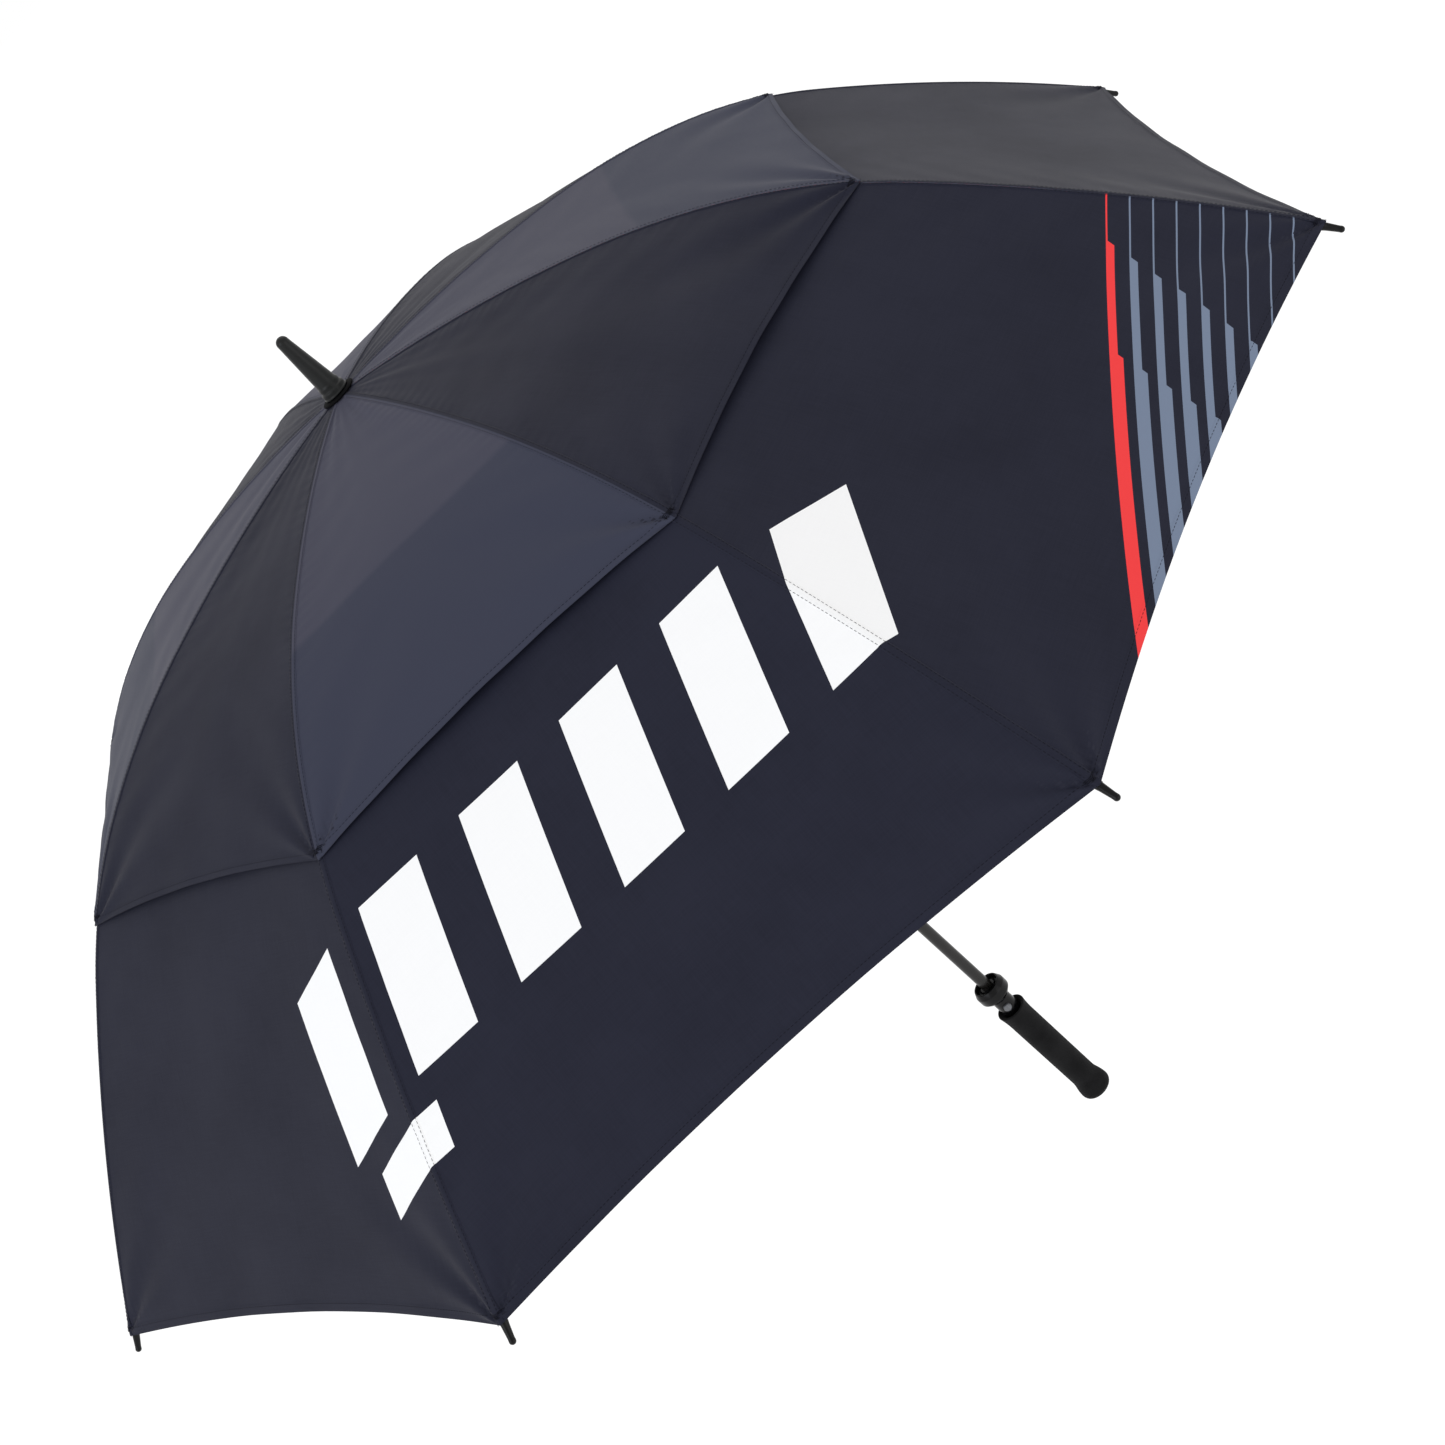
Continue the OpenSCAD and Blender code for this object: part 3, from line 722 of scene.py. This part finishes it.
def makeSeam(name, layer, k, low, high, body, node):
    rows = max(int((high - low) * ribLength / seam["rowStep"]), 4) + 1
    across = np.array([-1.0, -0.9, -0.45, 0.0, 0.45, 0.9, 1.0])
    height = np.array([0.0, 1.0, 1.05, 0.8, 1.05, 1.0, 0.0]) * seam["rise"]
    s, y = np.meshgrid(np.linspace(low, high, rows), across, indexing="ij")
    h = np.broadcast_to(height, s.shape)
    r = lineAt(s)[0]
    wobble = 1 + 0.05 * np.sin(s * ribLength / 0.0031 + k)
    width = np.minimum(seam["halfWidth"], 0.42 * r * math.sin(halfGore)) * wobble
    t = y * width / (r * math.sin(halfGore) * math.cos(halfGore))
    gores = (k, (k - 2) % canopy["ribs"] + 1)

    def surface(lift):
        onFirst = panelPoint(layer, gores[0], s, np.maximum(t, 0) - 1, lift)
        onSecond = panelPoint(layer, gores[1], s, 1 + np.minimum(t, 0), lift)
        return np.where((t >= 0)[..., None], onFirst, onSecond)

    edge = hemHeight(layer, s)
    top = surface(canopy["thickness"] + edge + h - 0.00002)
    under = surface(canopy["thickness"] * 0.6)
    faces = shellFaces(*s.shape)[0]
    gore = np.where(t >= 0, gores[0], gores[1])
    u = np.where(t >= 0, t - 1, 1 + t)
    maps = clothMaps(top, gore, s, u)
    piece = addPiece(name, np.concatenate([top.reshape(-1, 3), under.reshape(-1, 3)]), faces,
                     [clothOuter[layer]], None, {label: np.concatenate([v, v]) for label, v in maps.items()})
    smoothByAngle(piece.data, 50)
    settle(piece, body, "cloth", node)
    return piece


# ---- stitches: a Geometry Nodes row of thread stitches along a path

stitch = dict(pitch=0.0031, length=0.0023, radius=0.00017)


def makeStitchTree():
    tree = bpy.data.node_groups.new("stitch row", "GeometryNodeTree")
    tree.interface.new_socket(name="Geometry", in_out="INPUT", socket_type="NodeSocketGeometry")
    for label, kind in (("Pitch", "NodeSocketFloat"), ("Length", "NodeSocketFloat"),
                        ("Radius", "NodeSocketFloat"), ("Thread", "NodeSocketMaterial")):
        tree.interface.new_socket(name=label, in_out="INPUT", socket_type=kind)
    tree.interface.new_socket(name="Geometry", in_out="OUTPUT", socket_type="NodeSocketGeometry")
    give, take = tree.nodes.new("NodeGroupInput"), tree.nodes.new("NodeGroupOutput")
    curve = tree.nodes.new("GeometryNodeMeshToCurve")
    spread = tree.nodes.new("GeometryNodeResampleCurve")
    spread.mode = "LENGTH"
    tangent = tree.nodes.new("GeometryNodeInputTangent")
    align = tree.nodes.new("FunctionNodeAlignRotationToVector")
    align.axis = "Z"
    ball = tree.nodes.new("GeometryNodeMeshUVSphere")
    ball.inputs["Segments"].default_value = 5
    ball.inputs["Rings"].default_value = 4
    ball.inputs["Radius"].default_value = 1.0
    size = tree.nodes.new("ShaderNodeCombineXYZ")
    half = tree.nodes.new("ShaderNodeMath")
    half.operation = "MULTIPLY"
    half.inputs[1].default_value = 0.5
    place = tree.nodes.new("GeometryNodeInstanceOnPoints")
    solid = tree.nodes.new("GeometryNodeRealizeInstances")
    paint = tree.nodes.new("GeometryNodeSetMaterial")
    for a, b in ((give.outputs["Geometry"], curve.inputs["Mesh"]),
                 (curve.outputs["Curve"], spread.inputs["Curve"]),
                 (give.outputs["Pitch"], spread.inputs["Length"]),
                 (tangent.outputs[0], align.inputs["Vector"]),
                 (give.outputs["Length"], half.inputs[0]), (give.outputs["Radius"], size.inputs["X"]),
                 (give.outputs["Radius"], size.inputs["Y"]), (half.outputs[0], size.inputs["Z"]),
                 (spread.outputs["Curve"], place.inputs["Points"]),
                 (ball.outputs["Mesh"], place.inputs["Instance"]),
                 (align.outputs[0], place.inputs["Rotation"]), (size.outputs[0], place.inputs["Scale"]),
                 (place.outputs["Instances"], solid.inputs[0]), (solid.outputs[0], paint.inputs["Geometry"]),
                 (give.outputs["Thread"], paint.inputs["Material"]), (paint.outputs[0], take.inputs[0])):
        tree.links.new(a, b)
    return tree


stitchTree = makeStitchTree()


def sewPaths(name, paths, **sizes):
    # runs the stitch tree along each path and keeps the result as one plain mesh
    points, edges = [], []
    for path in paths:
        edges += [(len(points) + i, len(points) + i + 1) for i in range(len(path) - 1)]
        points += np.asarray(path).tolist()
    mesh = bpy.data.meshes.new(name + "Path")
    mesh.from_pydata(points, edges, [])
    obj = addObject(name, mesh)
    mod = obj.modifiers.new("stitches", "NODES")
    mod.node_group = stitchTree
    values = {"Pitch": stitch["pitch"], "Length": stitch["length"], "Radius": stitch["radius"], **sizes}
    for item in stitchTree.interface.items_tree:
        if item.in_out == "INPUT" and item.name in values:
            mod[item.identifier] = values[item.name]
        if item.in_out == "INPUT" and item.name == "Thread":
            mod[item.identifier] = thread
    bpy.context.view_layer.update()
    made = bpy.data.meshes.new_from_object(obj.evaluated_get(bpy.context.evaluated_depsgraph_get()))
    obj.modifiers.remove(mod)
    obj.data = made
    bpy.data.meshes.remove(mesh)
    made.polygons.foreach_set("use_smooth", np.ones(len(made.polygons), bool))
    return obj


def seamPaths(layer, k, low, high):
    # two rows of stitches on the seam, one each side of the rib
    paths = []
    for side, gore in ((1, k), (-1, (k - 2) % canopy["ribs"] + 1)):
        s = np.linspace(max(low, 0.03), high, 120)
        y = 0.0022
        t = y / (lineAt(s)[0] * math.sin(halfGore) * math.cos(halfGore))
        u = np.where(side > 0, t - 1, 1 - t)
        paths.append(panelPoint(layer, gore, s, u, canopy["thickness"] + seam["rise"] * 1.08 + 0.00004))
    return paths


def tackPaths(layer, k):
    # short bars of thread across the seam at the layer's hem, which tie the cloth down to the rib
    lay = layers[layer]
    paths = []
    for back in (0.004, 0.0050, 0.0060, 0.0070):
        y = np.linspace(-0.0040, 0.0040, 9)
        s = np.full_like(y, lay["end"] - back / ribLength)
        t = y / (lineAt(s)[0] * math.sin(halfGore) * math.cos(halfGore))
        right = panelPoint(layer, k, s, np.maximum(t, 0) - 1, canopy["thickness"] * 2 + seam["rise"] * 1.2)
        left = panelPoint(layer, (k - 2) % canopy["ribs"] + 1, s, 1 + np.minimum(t, 0),
                          canopy["thickness"] * 2 + seam["rise"] * 1.2)
        paths.append(np.where((y >= 0)[:, None], right, left))
    return paths


def hemPath(layer, k, side):
    lay = layers[layer]
    gore = k if side > 0 else (k - 2) % canopy["ribs"] + 1
    m = np.linspace(0.015, 1.0, 80)
    s = np.full_like(m, lay["end"] - 0.78 * lay["hem"] / ribLength)
    return panelPoint(layer, gore, s, (m - 1) * side, canopy["thickness"] * 2.15 + 0.00006)


def makeCanopy():
    sheets = []
    for k in range(1, canopy["ribs"] + 1):
        rib, end = f"rib_{k}", f"rib_end_{k}"
        clip = canopy["clip"]
        for layer, node in (("lower", f"lower_canopy_{k}"), ("upper", f"upper_canopy_{k}")):
            lay = layers[layer]
            spans = (("inner", lay["start"], clip, rib, False), ("outer", clip, lay["end"], end, True))
            for part, low, high, body, outer in spans:
                strip = makeSeam(f"{layer}_{part}_seam_{k}", layer, k, max(low, 0.012), high, body, node)
                rows = sewPaths(f"{layer}_{part}_stitches_{k}", seamPaths(layer, k, low, high))
                settle(rows, body, "cloth")
                trims = [strip, rows]
                if outer:
                    tacks = sewPaths(f"{layer}_tack_{k}", tackPaths(layer, k), Pitch=0.0018, Length=0.0030,
                                     Radius=0.00028)
                    trims.append(settle(tacks, body, "cloth"))
                for side, label in ((1, "a"), (-1, "b")):
                    name = f"{layer}_{part}_cloth_{k}{label}"
                    piece, flat, area = makeHalfPetal(name, layer, k, side, low, high, body, node)
                    extra = trims if side > 0 else []
                    if outer:
                        hem = sewPaths(f"{layer}_hem_stitches_{k}{label}", [hemPath(layer, k, side)])
                        settle(hem, body, "cloth")
                        gather(hem)
                        extra = extra + [hem]
                    gather(piece)
                    sheets.append((piece, flat, area, f"outer_rib_{k}" if outer else f"inner_rib_{k}", extra))
    return sheets


sheets = makeCanopy()
print("canopy made:", len(sheets), "panels")


# ---- ribs, stretchers, tips and wires keep their CAD shapes, merged and smoothed

for k in range(1, canopy["ribs"] + 1):
    refineNode(f"inner_rib_{k}", f"rib_{k}", "fibreglass", rodResin)
    refineNode(f"outer_rib_{k}", f"rib_end_{k}", "fibreglass", rodResin)
    refineNode(f"rib_tip_{k}", f"rib_end_{k}", "gloss_black", glossBlack)
    refineNode(f"stretcher_{k}", f"stretcher_{k}", "fibreglass", rodResin)
for node, body, slotName, material in (
        ("shaft_tube", "shaft", "shaft_metal", shaftPaint), ("crown_hub", "shaft", "hub_plastic", hubPlastic),
        ("hub_ring_wire", "shaft", "steel_wire", wireSteel),
        ("runner_stop", "shaft", "steel_wire", wireSteel),
        ("button_spring", "shaft", "steel_wire", wireSteel), ("runner", "runner", "hub_plastic", hubPlastic),
        ("runner_ring_wire", "runner", "steel_wire", wireSteel),
        ("release_button", "button", "button_grey", buttonPlastic)):
    refineNode(node, body, slotName, material)
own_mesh(bpy.data.objects["button_spring_fine"])
print("frame pieces refined")


# ---- handle, tip cup and ferrule, turned with rounded edges

handle = dict(shaft=0.0053, gripHalf=0.062, gripTop=0.0645, gripR=0.0125, flareR=0.0139, pommelR=0.0148,
              pommelH=0.0085, pommelPower=2.8, neckR=0.0088, cupR=0.0150, cupLow=0.0812, cupTop=0.0985,
              neckLow=0.059, flareReach=0.016, boreEnd=-0.040)


def gripRadius(z, h):
    up = z + h["gripHalf"]
    reach = h["flareReach"]
    ease = (1 - math.cos(math.pi * min(max((up - h["pommelH"]) / reach, 0), 1))) / 2
    if up < h["pommelH"]:
        power = h["pommelPower"]
        return h["pommelR"] * max(1 - (1 - up / h["pommelH"]) ** power, 0) ** (1 / power)
    return (h["gripR"] - 0.0002 + 0.0004 * up / (2 * h["gripHalf"]) + (h["pommelR"] - h["gripR"]) * (1 - ease)
            + (h["flareR"] - h["gripR"]) * max((z - h["gripTop"] + reach) / reach, 0) ** 2)


def makeGrip(h):
    steps = np.linspace(0, 1, 110)
    long = h["gripHalf"] + h["gripTop"]
    zs = [-h["gripHalf"] + long * x * ((0.25 + 3 * x) if x < 0.25 else 1) for x in steps]
    outline = [(gripRadius(z, h), z) for z in zs[:-1]]
    top = h["gripTop"]
    lip = [(h["flareR"] - 0.0001, top - 0.0006), (h["flareR"] - 0.0003, top - 0.0001),
           (h["flareR"] - 0.0012, top), (h["flareR"] - 0.0018, top - 0.0004),
           (h["neckR"] + 0.0012, top - 0.0020),
           (h["neckR"] + 0.0001, top - 0.0032), (h["shaft"] + 0.0001, top - 0.0034)]
    bore = [(h["shaft"] + 0.0001, h["boreEnd"]), (0.0, h["boreEnd"])]
    grip = lathe("grip_sleeve", outline + lip + bore, foam, sides=128, sharp=60)
    return settle(grip, "shaft", "grip_foam", "grip")


makeGrip(handle)


def makeTipCup(h):
    r, low, top = h["cupR"], h["cupLow"], h["cupTop"]
    outline = roundCorners([
        (h["shaft"], h["neckLow"]), (h["neckR"], h["neckLow"]), (h["neckR"], low - 0.0012),
        (h["neckR"] + 0.001, low), (r - 0.0042, low), (r, low + 0.005), (r, top - 0.005), (r - 0.0024, top),
        (r - 0.0034, top),
        (r - 0.0045, top - 0.005), (h["shaft"] + 0.0025, top - 0.006), (h["shaft"] + 0.002, top - 0.002),
        (h["shaft"], top - 0.002)], 0.0007)
    return lathe("tip_cup_turned", outline, glossBlack, sides=120, sharp=50, closed=True)


def boreButtonHole(cup):
    # opens the neck where the release button slides in
    lo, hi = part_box("release_button")
    cutter = lathe("buttonCutter", [(0, 0.0), (0.0039, 0.0), (0.0039, 0.02), (0, 0.02)], glossBlack, sides=48,
                   base=(0, 0.0, (lo.z + hi.z) / 2), axis=(0, -1, 0))
    cut = cup.modifiers.new("hole", "BOOLEAN")
    cut.operation = "DIFFERENCE"
    cut.solver = "EXACT"
    cut.object = cutter
    bpy.context.view_layer.update()
    mesh = bpy.data.meshes.new_from_object(cup.evaluated_get(bpy.context.evaluated_depsgraph_get()))
    cup.modifiers.remove(cut)
    cup.data = mesh
    smoothByAngle(mesh, 50)
    bpy.data.objects.remove(cutter)


tipCup = makeTipCup(handle)
boreButtonHole(tipCup)
settle(tipCup, "shaft", "gloss_black", "tip_cup")


def makeFerrule():
    lo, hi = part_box("ferrule")
    z0, nose, shaft = lo.z, 0.0052, handle["shaft"]
    long = hi.z - lo.z - nose
    body = roundCorners([
        (shaft, z0), (0.011, z0), (0.011, z0 + 0.0012), (0.0104, z0 + 0.0018), (0.0104, z0 + 0.005),
        (0.0092, z0 + 0.006), (0.0092, z0 + 0.0095), (0.0086, z0 + 0.0105),
        (nose * 1.02, z0 + long - 0.002)], 0.0006)
    ball = [(nose * math.cos(a), z0 + long + nose * math.sin(a)) for a in np.linspace(0.03, math.pi / 2, 16)]
    bore = [(0.0, z0 + 0.012), (shaft, z0 + 0.012)]
    outline = body + ball[:-1] + [(0.0, hi.z)] + bore
    piece = lathe("ferrule_turned", outline, ferrulePlastic, sides=112, sharp=50, closed=True)
    return settle(piece, "shaft", "gloss_black", "ferrule")


makeFerrule()


def makeWasher():
    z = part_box("top_washer")[0].z
    outline = roundCorners([(handle["shaft"], z), (0.015, z), (0.0152, z + 0.0006), (0.014, z + 0.0014),
                            (0.009, z + 0.002), (handle["shaft"], z + 0.002)], 0.0003)
    return settle(lathe("washer_turned", outline, satinBlack, sides=96, sharp=50, closed=True),
                  "shaft", "gloss_black", "top_washer")


makeWasher()
print("handle and fittings made")


# ---- floor and soft studio light

studio = dict(floorZ=-4.5, floorSize=400.0, world=0.80, backdrop=1.0)
lamps = [
    dict(name="key", spot=(-2.6, -2.4, 2.4), aim=(0, 0, 0.65), size=2.6, power=34, colour=(0.86, 0.92, 1.0)),
    dict(name="top", spot=(0.9, 1.6, 3.2), aim=(0, 0, 0.7), size=2.4, power=10, colour=(1.0, 0.94, 0.88)),
    dict(name="low", spot=(2.2, -2.4, 0.2), aim=(0, 0, 0.5), size=2.0, power=10, colour=(1.0, 1.0, 1.0)),
]


def makeStudio(st):
    size = st["floorSize"]
    mesh = bpy.data.meshes.new("floor")
    mesh.from_pydata([(-size, -size, st["floorZ"]), (size, -size, st["floorZ"]), (size, size, st["floorZ"]),
                      (-size, size, st["floorZ"])], [], [(0, 1, 2, 3)])
    floor = addObject("floor", mesh)
    mesh.materials.append(startMaterial("floor", 0.95, Base_Color=(0.9, 0.9, 0.9, 1), Specular_IOR_Level=0.0,
                                        Emission_Color=(1, 1, 1, 1), Emission_Strength=0.35)[0])
    world = bpy.data.worlds.new("studio")
    world.use_nodes = True
    tree = world.node_tree
    tree.nodes["Background"].inputs["Color"].default_value = (1, 1, 1, 1)
    seen = tree.nodes.new("ShaderNodeLightPath").outputs["Is Camera Ray"]
    strength = remap(tree, seen, 0, 1, st["world"], st["backdrop"])
    wire(tree, strength, tree.nodes["Background"].inputs["Strength"])
    bpy.context.scene.world = world
    bpy.context.scene.view_settings.view_transform = "Standard"


def makeLamp(lamp):
    data = bpy.data.lights.new(lamp["name"], "AREA")
    data.size = lamp["size"]
    data.energy = lamp["power"]
    data.color = lamp["colour"]
    obj = addObject(lamp["name"], data)
    obj.location = lamp["spot"]
    obj.rotation_euler = (Vector(lamp["aim"]) - Vector(lamp["spot"])).to_track_quat("-Z", "Y").to_euler()


makeStudio(studio)
for lamp in lamps:
    makeLamp(lamp)
print("studio ready")
